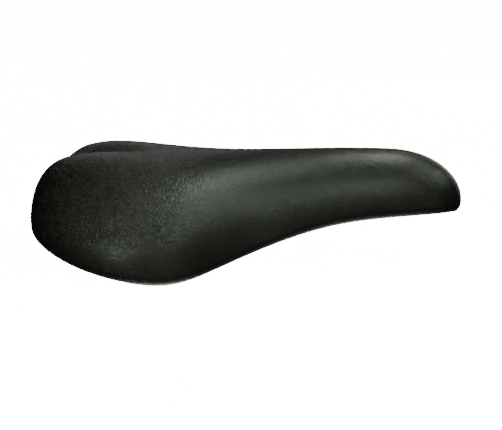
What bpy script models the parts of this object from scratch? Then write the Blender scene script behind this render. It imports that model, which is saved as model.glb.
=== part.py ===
"""Bicycle saddle: a padded vinyl cover on a moulded base, carried by a one-piece steel rail.

Metres, +Z up, +X to the nose, +Y to the rider's left. The origin is midway between the two straight
lengths of rail that a seatpost clamps, at the height of their axes.

Every layer of the padding is the same lofted form at another depth. At each station round the plan
outline a profile line runs from the centre plane over the shoulder to the equator, the widest line,
and then tucks under to the rim. inset is how far a layer lies inside the outer skin at the equator,
and drop is how far it lies below the outer skin at the top.
"""

import math

import bmesh
import bpy
import numpy as np
from mathutils import Vector

# Overall form, from which the layers follow.
REAR_X = -0.118                     # rearmost point of the cover
LENGTH = 0.270
TOP_Z = 0.045                       # the flat of the nose above the rail's axis

# Half of the plan outline: distance from the rear end, half width, rim below the flat of the nose.
OUTLINE = [
    (0.0000, 0.0000, 0.0450),
    (0.0045, 0.0260, 0.0470),
    (0.0140, 0.0520, 0.0500),
    (0.0380, 0.0710, 0.0575),
    (0.0680, 0.0790, 0.0640),
    (0.0980, 0.0720, 0.0685),
    (0.1240, 0.0530, 0.0645),
    (0.1520, 0.0360, 0.0555),
    (0.1900, 0.0275, 0.0440),
    (0.2300, 0.0235, 0.0385),
    (0.2560, 0.0185, 0.0370),
    (0.2675, 0.0095, 0.0375),
    (0.2700, 0.0000, 0.0385),
]
# Crest of the top: distance from the rear end, height above the flat of the nose.
CREST = [(0.0, 0.0030), (0.040, 0.0040), (0.080, 0.0), (0.130, -0.0015), (0.180, 0.0),
         (0.225, 0.0005), (0.270, -0.0010)]
# The hollow between the two rear lobes, which grows shallower and narrower towards the nose.
HOLLOW_DEPTH = 0.014
HOLLOW_AT = 0.028                   # where it is deepest, from the rear end
HOLLOW_LENGTH = 0.045               # over which its depth fades
HOLLOW_HALF_WIDTH = 0.0235          # at the rear end
HOLLOW_TAPER = 0.15                 # half width lost per length forwards
HOLLOW_LEAST = 0.0065               # half width that it keeps
SPINE = (0.030, 0.223)              # where the profile lines meet the centre plane, from the rear end
FULLNESS = 2.1                      # superellipse exponent of the profile lines
TUCK = 0.0045                       # how far the rim lies inside the equator
LIFT = 0.0065                       # how far the equator lies above the rim

# Layers.
GAP = 0.0003                        # clearance between neighbours that touch
SKIN = 0.0012                       # vinyl cover
FOAM_REAR, FOAM_NOSE = 0.022, 0.013  # foam under the top, at the rear and at the nose
FOAM_SIDE = 0.0030                  # foam at the equator
WALL = 0.0025                       # moulded base
FLANGE = 0.0020                     # lip of the base that the foam stands on
LEDGE = 0.0030                      # inner ledge of the base that takes the staples
LEDGE_REAR, LEDGE_NOSE = 0.0125, 0.0085  # inset of the ledge's inner edge
LEDGE_SLOPE = 0.3                   # the ledge climbs inwards
BASE_HOLLOW = 0.6                   # share of the hollow that the base follows
NOSE_BEGINS, NOSE_BLEND = 0.080, 0.080  # where the layers start to thin, and over what length

# Ribs under the base.
RIB = 0.0020
RIB_DEPTH, RIB_SIDE_DEPTH = 0.0050, 0.0040
RIB_LONG_Y = 0.0140
RIB_CROSS_X = [REAR_X + x for x in (0.064, 0.092, 0.120, 0.148, 0.176)]
RIB_LONG_X = (REAR_X + 0.058, REAR_X + 0.190)

# Rail.
RAIL_R = 0.0035
RAIL_CLAMP_Y = 0.022
RAIL_CLAMP_HALF = 0.038             # from the origin to the corner at each end of the level length
RAIL_NOSE_Y = 0.009
RAIL_NOSE_Z = 0.0185
RAIL_NOSE_X = (0.088, 0.114)        # start of the loop's arms, and its front
RAIL_REAR_Y = 0.035
RAIL_REAR_Z = 0.012
RAIL_REAR_X = (-0.060, -0.088)      # start of the socket length, and its end
BEND_R = 0.022

# Rail clamps and their screws.
CLAMP_DEPTH = 0.0065
NOSE_BOSS_X = (0.0820, 0.1225)
NOSE_BOSS_Y = 0.030                 # past the base's inner walls
NOSE_CLAMP_X = (0.0830, 0.1215)
NOSE_CLAMP_Y = 0.0132
NOSE_CLAMP_ROUND, REAR_CLAMP_ROUND = 0.0060, 0.0040
REAR_BOSS_X = (-0.0905, -0.0660)
REAR_CLAMP_X = (-0.0890, -0.0670)
REAR_BOSS_HALF_Y, REAR_CLAMP_HALF_Y = 0.0140, 0.0130
NOSE_SCREW_X = {"rear": 0.0895, "front": 0.1035}
REAR_SCREW_X = -0.0780
REAR_SCREW_OFF = 0.0085
SCREW_R, SCREW_LENGTH = 0.0020, 0.0120
HEAD_R, HEAD_H = 0.0037, 0.0024
HEAD_FLAT, HEAD_EDGE = 0.62, 0.45   # shares of the radius and of the height that aren't rounded off
WASHER_R, WASHER_H = 0.0043, 0.0008

# Staples that hold the cover's hem.
STAPLE_SPACES = 17                  # between staples along half of the outline
STAPLE = (0.0090, 0.0013, 0.0006)   # crown length, width, thickness
STAPLE_GAP = 0.0005
CHORD = 0.003                       # half of the stretch of hem that a staple lines up with

# Cutting shapes reach to these places, clear of the solid that they cut.
CUT_FLOOR, CUT_LOW, CUT_HIGH, CUT_SIDE = -0.050, -0.045, 0.060, 0.090
CUT_OVER = 0.002                    # how far a hole's cutter passes both faces
STEP = 0.001                        # between surfaces that would otherwise coincide

WELD = 2e-6                         # points closer than this are one
SHORTEST = 1e-4                     # shortest step along a rounded path
BAR_SIDES, HOLE_SIDES = 12, 16
ARC_STEPS = 4                       # along each bend of the rail
QUARTER = (0.35, 0.7, 0.9, 1.0)     # shares of the way down at which a quarter-round has a row

STATIONS = 34                       # round half of the outline
LEVELS = 8                          # from the spine to the equator
BEND_WEIGHT = 0.010                 # metres of outline that one radian of turning counts as

COLOURS = {
    "vinyl": ((0.012, 0.013, 0.011), 0.45, 0.0),
    "foam": ((0.62, 0.58, 0.45), 0.95, 0.0),
    "base": ((0.020, 0.020, 0.021), 0.50, 0.0),
    "nylon": ((0.030, 0.030, 0.032), 0.55, 0.0),
    "rail": ((0.015, 0.015, 0.016), 0.30, 0.6),
    "zinc": ((0.62, 0.62, 0.60), 0.32, 1.0),
}


# ---- curves -------------------------------------------------------------------------------------

def smooth(knots, values, at):
    """Values at the given places on a natural cubic spline through the knots."""
    knots, values, at = (np.asarray(a, float) for a in (knots, values, at))
    span = np.diff(knots)
    rise = (np.diff(values, axis=0).T / span).T
    system = np.eye(len(knots))
    target = np.zeros_like(values)
    for i in range(1, len(span)):
        system[i, i - 1:i + 2] = span[i - 1], 2 * (span[i - 1] + span[i]), span[i]
        target[i] = 6 * (rise[i] - rise[i - 1])
    bend = np.linalg.solve(system, target)
    at = np.clip(at, knots[0], knots[-1])
    i = np.clip(np.searchsorted(knots, at, side="right") - 1, 0, len(span) - 1)
    column = (slice(None),) + (None,) * (values.ndim - 1)
    t, h = (at - knots[i])[column], span[i][column]
    slope = rise[i] - h * (2 * bend[i] + bend[i + 1]) / 6
    return values[i] + t * slope + t ** 2 * bend[i] / 2 + t ** 3 * (bend[i + 1] - bend[i]) / (6 * h)


def profile_of(table, x):
    """A table of (distance from the rear end, value), read at x in the part's frame."""
    knots, values = zip(*table)
    return smooth(knots, values, np.asarray(x) - REAR_X)


def hollow_depth(x, y):
    """Depth of the hollow between the rear lobes at points of the top."""
    ahead = np.asarray(x) - REAR_X
    depth = HOLLOW_DEPTH * np.exp(-((ahead - HOLLOW_AT) / HOLLOW_LENGTH) ** 2)
    half_width = np.maximum(HOLLOW_HALF_WIDTH - HOLLOW_TAPER * ahead, HOLLOW_LEAST)
    return depth * np.exp(-(y / half_width) ** 2)


def share_to_nose(x):
    """0 over the wings, rising smoothly to 1 where the nose begins."""
    t = np.clip((np.asarray(x) - REAR_X - NOSE_BEGINS) / NOSE_BLEND, 0, 1)
    return t * t * (3 - 2 * t)


def fine_outline(count=1500):
    """(x, y, rim z) closely spaced along half of the outline, from the rear end to the nose tip."""
    points = np.array([(REAR_X + x, y, TOP_Z - rim) for x, y, rim in OUTLINE])
    mirrored = points * [1, -1, 1]
    past = 3                        # mirrored points past each end, for a level crossing of the middle
    whole = np.vstack([mirrored[past:0:-1], points, mirrored[-2:-2 - past:-1]])
    chords = np.linalg.norm(np.diff(whole[:, :2], axis=0), axis=1)
    along = np.concatenate([[0], np.cumsum(np.sqrt(chords))])
    return smooth(along, whole, np.linspace(along[past], along[-1 - past], count))


def stations():
    """Evenly shared points on half of the outline, closer where it bends, with inward normals."""
    line = fine_outline()
    step = np.diff(line[:, :2], axis=0)
    heading = np.unwrap(np.arctan2(step[:, 1], step[:, 0]))
    turn = np.abs(np.diff(heading, prepend=heading[0]))
    run = np.concatenate([[0], np.cumsum(np.linalg.norm(step, axis=1) + BEND_WEIGHT * turn)])
    at = np.linspace(0, run[-1], STATIONS)
    point = np.stack([np.interp(at, run, line[:, k]) for k in range(3)], 1)
    angle = np.interp(at, run, np.append(heading, heading[-1]))
    angle[0], angle[-1] = math.pi / 2, -math.pi / 2
    inward = np.stack([np.sin(angle), -np.cos(angle)], 1)
    point[[0, -1], 1] = 0.0
    inward[[0, -1], 1] = 0.0
    return point, inward


POINT, INWARD = stations()
SPINE_X = REAR_X + SPINE[0] + (SPINE[1] - SPINE[0]) * (POINT[:, 0] - REAR_X) / LENGTH
LEDGE_INSET = LEDGE_REAR + (LEDGE_NOSE - LEDGE_REAR) * share_to_nose(POINT[:, 0])


# ---- rows of points, one point for each station -------------------------------------------------

def row(inset, above_rim):
    """The points that lie inset from the equator line in plan and this far above the rim."""
    inset = np.broadcast_to(inset, len(POINT))
    plan = POINT[:, :2] + INWARD * inset[:, None]
    return np.column_stack([plan, POINT[:, 2] + above_rim])


def upper_rows(inset, drop_rear, drop_nose, hollow_share):
    """Rows from the spine to the equator of a layer."""
    equator = row(inset, LIFT)
    rows = []
    for angle in np.linspace(math.pi / 2, 0, LEVELS):
        out = max(math.cos(angle), 0.0) ** (2 / FULLNESS) if angle < math.pi / 2 else 0.0
        up = math.sin(angle) ** (2 / FULLNESS)
        x = SPINE_X + (equator[:, 0] - SPINE_X) * out
        y = equator[:, 1] * out
        drop = drop_rear + (drop_nose - drop_rear) * share_to_nose(x)
        top = TOP_Z + profile_of(CREST, x) - drop
        top -= hollow_depth(x, y) * hollow_share
        z = equator[:, 2] + (top - equator[:, 2]) * up
        rows.append(np.column_stack([x, y, z]))
    return rows


def lower_rows(inset, shares):
    """Rows of the quarter-round under a layer's equator, at these shares of the way down."""
    return [row(inset + (TUCK - inset) * (1 - math.sqrt(1 - share ** 2)), LIFT - (LIFT - inset) * share)
            for share in shares]


def share_down(inset, above_rim):
    """How far down a layer's quarter-round this height above the rim lies."""
    return (LIFT - above_rim) / (LIFT - inset)


def ledge_row(inset, above):
    """A row on the sloping underside of the rim, this far above the cover's lower face."""
    return row(inset, above + LEDGE_SLOPE * (inset - TUCK))


def centre_row(z):
    """A row on the centre plane, at a height z."""
    return np.column_stack([SPINE_X, np.zeros(len(POINT)), np.broadcast_to(z, len(POINT))])


# ---- meshes -------------------------------------------------------------------------------------

def finished(name, bm, colour, smooth_angle=None):
    """Turns a bmesh into a named object with its material."""
    bmesh.ops.recalc_face_normals(bm, faces=bm.faces)
    if bm.calc_volume(signed=True) < 0:
        bmesh.ops.reverse_faces(bm, faces=bm.faces)
    mesh = bpy.data.meshes.new(name)
    bm.to_mesh(mesh)
    bm.free()
    obj = bpy.data.objects.new(name, mesh)
    bpy.context.scene.collection.objects.link(obj)
    if smooth_angle is not None:
        mesh.shade_smooth()
        mesh.set_sharp_from_angle(angle=math.radians(smooth_angle))
    if colour:
        mesh.materials.append(material(colour))
    return obj


def material(name):
    """The Principled material of that name, made once."""
    found = bpy.data.materials.get(name)
    if found:
        return found
    base_colour, roughness, metallic = COLOURS[name]
    made = bpy.data.materials.new(name)
    made.use_nodes = True
    shader = made.node_tree.nodes["Principled BSDF"]
    shader.inputs["Base Color"].default_value = (*base_colour, 1.0)
    shader.inputs["Roughness"].default_value = roughness
    shader.inputs["Metallic"].default_value = metallic
    return made


def loft_both_sides(rows):
    """A closed bmesh through rows of points on the left and their mirror image on the right.

    The first and last rows, and the first and last station, lie on the centre plane.
    """
    bm = bmesh.new()
    grid = np.array(rows)
    grid[[0, -1], :, 1] = 0.0
    grid[:, [0, -1], 1] = 0.0
    middle = np.zeros(grid.shape[:2], bool)
    middle[[0, -1]] = middle[:, [0, -1]] = True
    left = [[bm.verts.new(p) for p in line] for line in grid]
    right = [[left[i][j] if middle[i, j] else bm.verts.new(p * [1, -1, 1])
              for j, p in enumerate(line)] for i, line in enumerate(grid)]
    for side in (left, right):
        for lower, upper in zip(side, side[1:]):
            for a, b, c, d in zip(lower, lower[1:], upper[1:], upper):
                bm.faces.new((a, b, c, d) if side is left else (d, c, b, a))
    bmesh.ops.triangulate(bm, faces=bm.faces)
    return bm


def box(low, high, round_edges=0.0):
    """A bmesh box between two corners, with its upright edges rounded if wanted."""
    bm = bmesh.new()
    bmesh.ops.create_cube(bm, size=1.0)
    for v in bm.verts:
        v.co = Vector([low[k] if v.co[k] < 0 else high[k] for k in range(3)])
    if round_edges:
        upright = [e for e in bm.edges if abs(e.verts[0].co.z - e.verts[1].co.z) > 1e-6]
        bmesh.ops.bevel(bm, geom=upright, offset=round_edges, segments=4, affect="EDGES", profile=0.5)
    return bm


def turned(profile, sides):
    """A closed bmesh turned about the Z axis from (radius, height) points, ends on the axis."""
    bm = bmesh.new()
    rings = []
    for radius, height in profile:
        if radius == 0:
            rings.append([bm.verts.new((0, 0, height))])
            continue
        rings.append([bm.verts.new((radius * math.cos(2 * math.pi * k / sides),
                                    radius * math.sin(2 * math.pi * k / sides), height))
                      for k in range(sides)])
    for a, b in zip(rings, rings[1:]):
        for k in range(sides):
            corners = [a[k % len(a)], a[(k + 1) % len(a)], b[(k + 1) % len(b)], b[k % len(b)]]
            bm.faces.new(list(dict.fromkeys(corners)))
    return bm


def ring(outer, inner, low, high, sides):
    """A bmesh washer about the Z axis."""
    bm = bmesh.new()
    corners = [(outer, low), (outer, high), (inner, high), (inner, low)]
    loops = []
    for k in range(sides):
        angle = 2 * math.pi * k / sides
        loops.append([bm.verts.new((r * math.cos(angle), r * math.sin(angle), z)) for r, z in corners])
    for k in range(sides):
        here, there = loops[k], loops[(k + 1) % sides]
        for m in range(4):
            bm.faces.new((here[m], there[m], there[(m + 1) % 4], here[(m + 1) % 4]))
    return bm


def tube(path, radius, sides):
    """A bmesh round bar along a path, with flat ends."""
    bm = bmesh.new()
    points = [Vector(p) for p in path]
    side = Vector((0, 0, 1))
    rings = []
    for k, point in enumerate(points):
        ahead = (points[min(k + 1, len(points) - 1)] - points[max(k - 1, 0)]).normalized()
        side = (side - ahead * side.dot(ahead)).normalized()
        across = ahead.cross(side)
        rings.append([bm.verts.new(point + radius * (math.cos(a) * side + math.sin(a) * across))
                      for a in (2 * math.pi * (n + 0.5) / sides for n in range(sides))])
    for a, b in zip(rings, rings[1:]):
        for n in range(sides):
            m = (n + 1) % sides
            bm.faces.new((a[n], a[m], b[m], b[n]))
    bm.faces.new(rings[0])
    bm.faces.new(rings[-1])
    return bm


def rounded_path(corners, radii, steps):
    """The corners joined by straight lines, with an arc of the given radius at each inner corner."""
    path = [Vector(corners[0])]
    for before, corner, after, radius in zip(corners, corners[1:], corners[2:], radii):
        before, corner, after = Vector(before), Vector(corner), Vector(after)
        back, on = (before - corner).normalized(), (after - corner).normalized()
        half = back.angle(on) / 2
        centre = corner + (back + on).normalized() * (radius / math.sin(half))
        start = corner + back * (radius / math.tan(half)) - centre
        end = corner + on * (radius / math.tan(half)) - centre
        sweep = start.angle(end)
        for k in range(steps + 1):
            a = sweep * k / steps
            arm = (start * math.sin(sweep - a) + end * math.sin(a)) / math.sin(sweep)
            path.append(centre + arm)
    path.append(Vector(corners[-1]))
    return [p for k, p in enumerate(path) if k == 0 or (p - path[k - 1]).length > SHORTEST]


def cut(target, cutter, operation="DIFFERENCE"):
    """Applies a Boolean to target and removes the cutter."""
    modifier = target.modifiers.new("cut", "BOOLEAN")
    modifier.operation = operation
    modifier.object = cutter
    modifier.solver = "EXACT"
    bpy.context.view_layer.update()
    graph = bpy.context.evaluated_depsgraph_get()
    result = bpy.data.meshes.new_from_object(target.evaluated_get(graph))
    target.modifiers.clear()
    target.data = result
    bpy.data.objects.remove(cutter)
    bm = bmesh.new()
    bm.from_mesh(result)
    bmesh.ops.remove_doubles(bm, verts=bm.verts, dist=WELD)
    bmesh.ops.triangulate(bm, faces=bm.faces)
    bm.to_mesh(result)
    bm.free()


def merged(parts):
    """One bmesh holding several."""
    whole = bmesh.new()
    for part in parts:
        mesh = bpy.data.meshes.new("part")
        part.to_mesh(mesh)
        part.free()
        whole.from_mesh(mesh)
        bpy.data.meshes.remove(mesh)
    return whole


def cutter_of(*parts):
    """A cutting object made of bmeshes that lie clear of each other."""
    return finished("cutter", merged(parts), None)


def hole(x, y, low, high, radius):
    """A bmesh for an upright round hole."""
    bm = turned([(0, low), (radius, low), (radius, high), (0, high)], HOLE_SIDES)
    bmesh.ops.translate(bm, verts=bm.verts, vec=(x, y, 0))
    return bm


# ---- the pieces ---------------------------------------------------------------------------------

def make_cover():
    """The vinyl cover: over the foam, round the rim, and under it as a hem."""
    hem_edge = LEDGE_INSET - GAP
    rows = upper_rows(0, 0, 0, 1) + lower_rows(0, QUARTER)
    rows += [ledge_row(hem_edge, 0), ledge_row(hem_edge, SKIN)]
    rows += lower_rows(SKIN, QUARTER)[::-1] + upper_rows(SKIN, SKIN, SKIN, 1)[::-1]
    return finished("cover", loft_both_sides(rows), "vinyl", 50)


def make_foam():
    """The foam pad, which stands on the base's flange."""
    outer, inner = SKIN + GAP, SKIN + GAP + FOAM_SIDE
    foot = SKIN + 2 * GAP + FLANGE
    rows = upper_rows(outer, outer, outer, 1) + lower_rows(outer, (share_down(outer, foot),))
    rows += [row(inner, foot)]
    rows += upper_rows(inner, FOAM_REAR - GAP, FOAM_NOSE - GAP, BASE_HOLLOW)[::-1]
    return finished("foam_pad", loft_both_sides(rows), "foam", 50)


def base_outside():
    """The base as a solid lump, before it is hollowed."""
    skin = SKIN + GAP
    wall = skin + FOAM_SIDE + GAP
    flange_top = skin + FLANGE
    rows = upper_rows(wall, FOAM_REAR, FOAM_NOSE, BASE_HOLLOW)
    rows += [row(wall, flange_top)]
    rows += lower_rows(skin, (share_down(skin, flange_top), 0.8, 1.0))
    climb = LEDGE_SLOPE * (LEDGE_INSET - TUCK)
    rows += [ledge_row(LEDGE_INSET + STEP, skin), centre_row(POINT[:, 2] + skin + climb)]
    return finished("base_shell", loft_both_sides(rows), "base", 40)


def base_cavity():
    """The hollow of the base, less its ribs and bosses, reaching below the rim."""
    wall = SKIN + GAP + FOAM_SIDE + GAP + WALL
    rows = upper_rows(wall, FOAM_REAR + WALL, FOAM_NOSE + WALL, BASE_HOLLOW)
    rows += [ledge_row(wall, SKIN + GAP + LEDGE), ledge_row(LEDGE_INSET, SKIN + GAP + LEDGE)]
    floor = row(LEDGE_INSET, 0)
    floor[:, 2] = CUT_FLOOR
    rows += [floor, centre_row(CUT_FLOOR)]
    cavity = finished("cavity", loft_both_sides(rows), None)
    inner = wall + RIB_SIDE_DEPTH
    drop = WALL + RIB_DEPTH
    rows = upper_rows(inner, FOAM_REAR + drop, FOAM_NOSE + drop, BASE_HOLLOW)
    floor = row(np.maximum(inner, LEDGE_INSET + STEP / 2), 0)
    floor[:, 2] = CUT_FLOOR + STEP
    rows += [floor, centre_row(CUT_FLOOR + STEP)]
    between_ribs = finished("between_ribs", loft_both_sides(rows), None)
    cut(cavity, cutter_of(*[box((x - RIB / 2, -CUT_SIDE, CUT_LOW), (x + RIB / 2, CUT_SIDE, CUT_HIGH))
                            for x in RIB_CROSS_X]))
    cut(cavity, cutter_of(*[box((RIB_LONG_X[0], y - RIB / 2, CUT_LOW),
                                (RIB_LONG_X[1], y + RIB / 2, CUT_HIGH))
                            for y in (-RIB_LONG_Y, RIB_LONG_Y)]))
    cut(cavity, between_ribs, "UNION")
    bosses = [box((NOSE_BOSS_X[0], -NOSE_BOSS_Y, RAIL_NOSE_Z + GAP / 2),
                  (NOSE_BOSS_X[1], NOSE_BOSS_Y, CUT_HIGH))]
    for centre in (-RAIL_REAR_Y, RAIL_REAR_Y):
        bosses.append(box((REAR_BOSS_X[0], centre - REAR_BOSS_HALF_Y, RAIL_REAR_Z + GAP / 2),
                          (REAR_BOSS_X[1], centre + REAR_BOSS_HALF_Y, CUT_HIGH)))
    cut(cavity, cutter_of(*bosses))
    return cavity


def rail_path():
    """The rail's axis, from its left rear end round the nose loop to its right rear end."""
    left = [
        (RAIL_REAR_X[1], RAIL_REAR_Y, RAIL_REAR_Z),
        (RAIL_REAR_X[0], RAIL_REAR_Y, RAIL_REAR_Z),
        (-RAIL_CLAMP_HALF, RAIL_CLAMP_Y, 0),
        (RAIL_CLAMP_HALF, RAIL_CLAMP_Y, 0),
        (RAIL_NOSE_X[0], RAIL_NOSE_Y, RAIL_NOSE_Z),
        (RAIL_NOSE_X[1], RAIL_NOSE_Y, RAIL_NOSE_Z),
    ]
    corners = left + [(x, -y, z) for x, y, z in left[::-1]]
    loop_r = RAIL_NOSE_Y - WELD     # the two quarter turns of the loop all but meet at its front
    radii = [BEND_R] * 4 + [loop_r] * 2 + [BEND_R] * 4
    return rounded_path(corners, radii, ARC_STEPS)


def rail_cutter():
    """The rail with clearance round it and past its ends."""
    path = rail_path()
    path[0] = path[0] - Vector((GAP, 0, 0))
    path[-1] = path[-1] - Vector((GAP, 0, 0))
    return finished("cutter", tube(path, RAIL_R + GAP, BAR_SIDES), None)


def screw_places():
    """name: (x, y, z of the clamp's underside) for each screw."""
    nose_z = RAIL_NOSE_Z - GAP / 2 - CLAMP_DEPTH
    places = {f"nose_{end}": (x, 0.0, nose_z) for end, x in NOSE_SCREW_X.items()}
    for side, sign in (("left", 1), ("right", -1)):
        for where, off in (("inner", -REAR_SCREW_OFF), ("outer", REAR_SCREW_OFF)):
            places[f"{side}_{where}"] = (REAR_SCREW_X, sign * (RAIL_REAR_Y + off),
                                         RAIL_REAR_Z - GAP / 2 - CLAMP_DEPTH)
    return places


def make_base():
    """The moulded base: hollowed, ribbed, grooved for the rail and bored for the screws."""
    base = base_outside()
    cut(base, base_cavity())
    cut(base, rail_cutter())
    cut(base, cutter_of(*[hole(x, y, z, z + SCREW_LENGTH + GAP, SCREW_R + GAP)
                          for x, y, z in screw_places().values()]))
    return base


def make_clamp(name, low, high, screws, round_edges):
    """A nylon rail clamp: a block with the lower half of the rail's groove and screw holes."""
    clamp = finished(name, box(low, high, round_edges), "nylon", 40)
    cut(clamp, rail_cutter())
    cut(clamp, cutter_of(*[hole(x, y, low[2] - CUT_OVER, high[2] + CUT_OVER, SCREW_R + GAP)
                           for x, y, _ in screws]))
    return clamp


def make_clamps():
    """The nose clamp and the two rear clamps."""
    places = screw_places()
    top = RAIL_NOSE_Z - GAP / 2
    make_clamp("nose_clamp", (NOSE_CLAMP_X[0], -NOSE_CLAMP_Y, top - CLAMP_DEPTH),
               (NOSE_CLAMP_X[1], NOSE_CLAMP_Y, top),
               [places["nose_rear"], places["nose_front"]], NOSE_CLAMP_ROUND)
    top = RAIL_REAR_Z - GAP / 2
    for side, sign in (("left", 1), ("right", -1)):
        ys = sorted((sign * (RAIL_REAR_Y - REAR_CLAMP_HALF_Y), sign * (RAIL_REAR_Y + REAR_CLAMP_HALF_Y)))
        make_clamp(f"rear_clamp_{side}", (REAR_CLAMP_X[0], ys[0], top - CLAMP_DEPTH),
                   (REAR_CLAMP_X[1], ys[1], top),
                   [places[f"{side}_inner"], places[f"{side}_outer"]], REAR_CLAMP_ROUND)


def make_screws():
    """A screw and a washer under each pair of holes in the clamps."""
    for name, (x, y, z) in screw_places().items():
        washer_top = z - GAP
        seat = washer_top - WASHER_H - GAP
        disc = ring(WASHER_R, SCREW_R + GAP, washer_top - WASHER_H, washer_top, HOLE_SIDES)
        washer = finished(f"washer_{name}", disc, "zinc", 40)
        washer.location = (x, y, 0)
        profile = [(0, seat - HEAD_H), (HEAD_R * HEAD_FLAT, seat - HEAD_H),
                   (HEAD_R, seat - HEAD_H * HEAD_EDGE), (HEAD_R, seat), (SCREW_R, seat),
                   (SCREW_R, z + SCREW_LENGTH - SCREW_R), (0, z + SCREW_LENGTH)]
        screw = finished(f"screw_{name}", turned(profile, BAR_SIDES), "zinc", 40)
        screw.location = (x, y, 0)


def make_rail():
    """The one-piece steel rail."""
    return finished("rail", tube(rail_path(), RAIL_R, BAR_SIDES), "rail", 40)


def make_staples():
    """The staples' crowns, evenly spaced along the hem and lying on its sloping underside."""
    line = fine_outline()
    step = np.diff(line[:, :2], axis=0)
    run = np.concatenate([[0], np.cumsum(np.linalg.norm(step, axis=1))])
    for number in range(STAPLE_SPACES + 1):
        at = run[-1] * number / STAPLE_SPACES
        place = point_at(line, run, at)
        along = Vector(point_at(line, run, at + CHORD) - point_at(line, run, at - CHORD))
        on_centre = number in (0, STAPLE_SPACES)
        if on_centre:
            along = Vector((0, 1 if number == 0 else -1, 0))
        along.normalize()
        inward = Vector((along.y, -along.x, 0)).normalized()
        ledge = LEDGE_REAR + (LEDGE_NOSE - LEDGE_REAR) * float(share_to_nose(place[0]))
        middle = (ledge - TUCK) / 2
        inward_up = (inward + Vector((0, 0, LEDGE_SLOPE))).normalized()
        down = along.cross(inward_up).normalized()
        if down.z > 0:
            down = -down
        centre = Vector(place) + inward * (TUCK + middle) + Vector((0, 0, LEDGE_SLOPE * middle))
        centre += down * (STAPLE_GAP + STAPLE[2] / 2)
        axes = [along * STAPLE[0], inward_up * STAPLE[1], down * STAPLE[2]]
        if on_centre:
            finished("staple_nose" if number else "staple_rear", bar(centre, axes, 1), "zinc")
        else:
            finished(f"staple_left_{number:02d}", bar(centre, axes, 1), "zinc")
            finished(f"staple_right_{number:02d}", bar(centre, axes, -1), "zinc")


def point_at(line, run, at):
    """The point of a line at a distance along it."""
    return np.array([np.interp(at, run, line[:, k]) for k in range(3)])


def bar(centre, axes, side):
    """A bmesh block with the given centre and edge vectors, mirrored in Y if side is -1."""
    bm = bmesh.new()
    bmesh.ops.create_cube(bm, size=1.0)
    for v in bm.verts:
        place = centre + sum((axis * share for axis, share in zip(axes, v.co)), Vector())
        v.co = Vector((place.x, side * place.y, place.z))
    return bm


def main():
    for obj in list(bpy.data.objects):
        bpy.data.objects.remove(obj)
    make_cover()
    make_foam()
    make_base()
    make_rail()
    make_clamps()
    make_screws()
    make_staples()


main()
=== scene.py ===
"""Bicycle saddle: the finished look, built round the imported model.

Metres, +Z up, +X to the nose, +Y to the rider's left. The origin lies between the two straight
lengths of rail, at the height of their axes.

The padding's layers are one lofted form at several depths. At each station round the plan outline a
profile line runs from the centre plane over the shoulder to the equator, the widest line, and then
tucks under to the rim. inset is how far a layer lies inside the outer skin at the equator, and drop
is how far it lies below the outer skin at the top.
"""

import math
import random

import bmesh
import bpy
import numpy as np
from mathutils import Matrix, Vector


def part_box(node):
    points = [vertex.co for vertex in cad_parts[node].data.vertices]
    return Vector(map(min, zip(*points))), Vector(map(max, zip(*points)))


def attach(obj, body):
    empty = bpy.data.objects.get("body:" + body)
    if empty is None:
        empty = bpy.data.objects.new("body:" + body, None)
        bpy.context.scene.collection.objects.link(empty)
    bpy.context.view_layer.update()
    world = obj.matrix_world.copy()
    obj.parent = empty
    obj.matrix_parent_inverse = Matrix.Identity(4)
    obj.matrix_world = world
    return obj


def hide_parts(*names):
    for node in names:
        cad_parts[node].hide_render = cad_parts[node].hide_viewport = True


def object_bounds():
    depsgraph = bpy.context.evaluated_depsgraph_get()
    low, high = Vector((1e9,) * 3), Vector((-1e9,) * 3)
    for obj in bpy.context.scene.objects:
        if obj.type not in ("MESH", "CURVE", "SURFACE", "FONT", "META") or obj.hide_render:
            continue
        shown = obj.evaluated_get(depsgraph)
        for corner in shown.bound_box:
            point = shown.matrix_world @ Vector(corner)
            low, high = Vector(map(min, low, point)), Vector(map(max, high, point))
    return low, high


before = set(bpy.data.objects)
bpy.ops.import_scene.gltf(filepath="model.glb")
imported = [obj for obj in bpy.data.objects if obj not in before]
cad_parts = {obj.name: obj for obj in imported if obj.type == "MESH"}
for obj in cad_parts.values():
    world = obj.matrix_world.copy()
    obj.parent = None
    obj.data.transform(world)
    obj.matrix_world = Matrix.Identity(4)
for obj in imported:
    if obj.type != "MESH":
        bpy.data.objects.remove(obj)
cad_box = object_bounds()

# Overall form.
REAR_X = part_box("cover")[0].x
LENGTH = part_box("cover")[1].x - REAR_X
TOP_Z = 0.045                       # the flat of the nose above the rail's axis

# Half of the plan outline: distance from the rear end, half width, rim below the flat of the nose.
OUTLINE = [
    (0.0000, 0.0000, 0.0450),
    (0.0045, 0.0260, 0.0470),
    (0.0140, 0.0520, 0.0500),
    (0.0380, 0.0710, 0.0575),
    (0.0680, 0.0790, 0.0640),
    (0.0980, 0.0720, 0.0685),
    (0.1240, 0.0530, 0.0645),
    (0.1520, 0.0360, 0.0555),
    (0.1900, 0.0275, 0.0440),
    (0.2300, 0.0235, 0.0385),
    (0.2560, 0.0185, 0.0370),
    (0.2675, 0.0095, 0.0375),
    (0.2700, 0.0000, 0.0385),
]
# Crest of the top: distance from the rear end, height above the flat of the nose.
CREST = [(0.0, 0.0030), (0.040, 0.0040), (0.080, 0.0), (0.130, -0.0015), (0.180, 0.0),
         (0.225, 0.0005), (0.270, -0.0010)]
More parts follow.
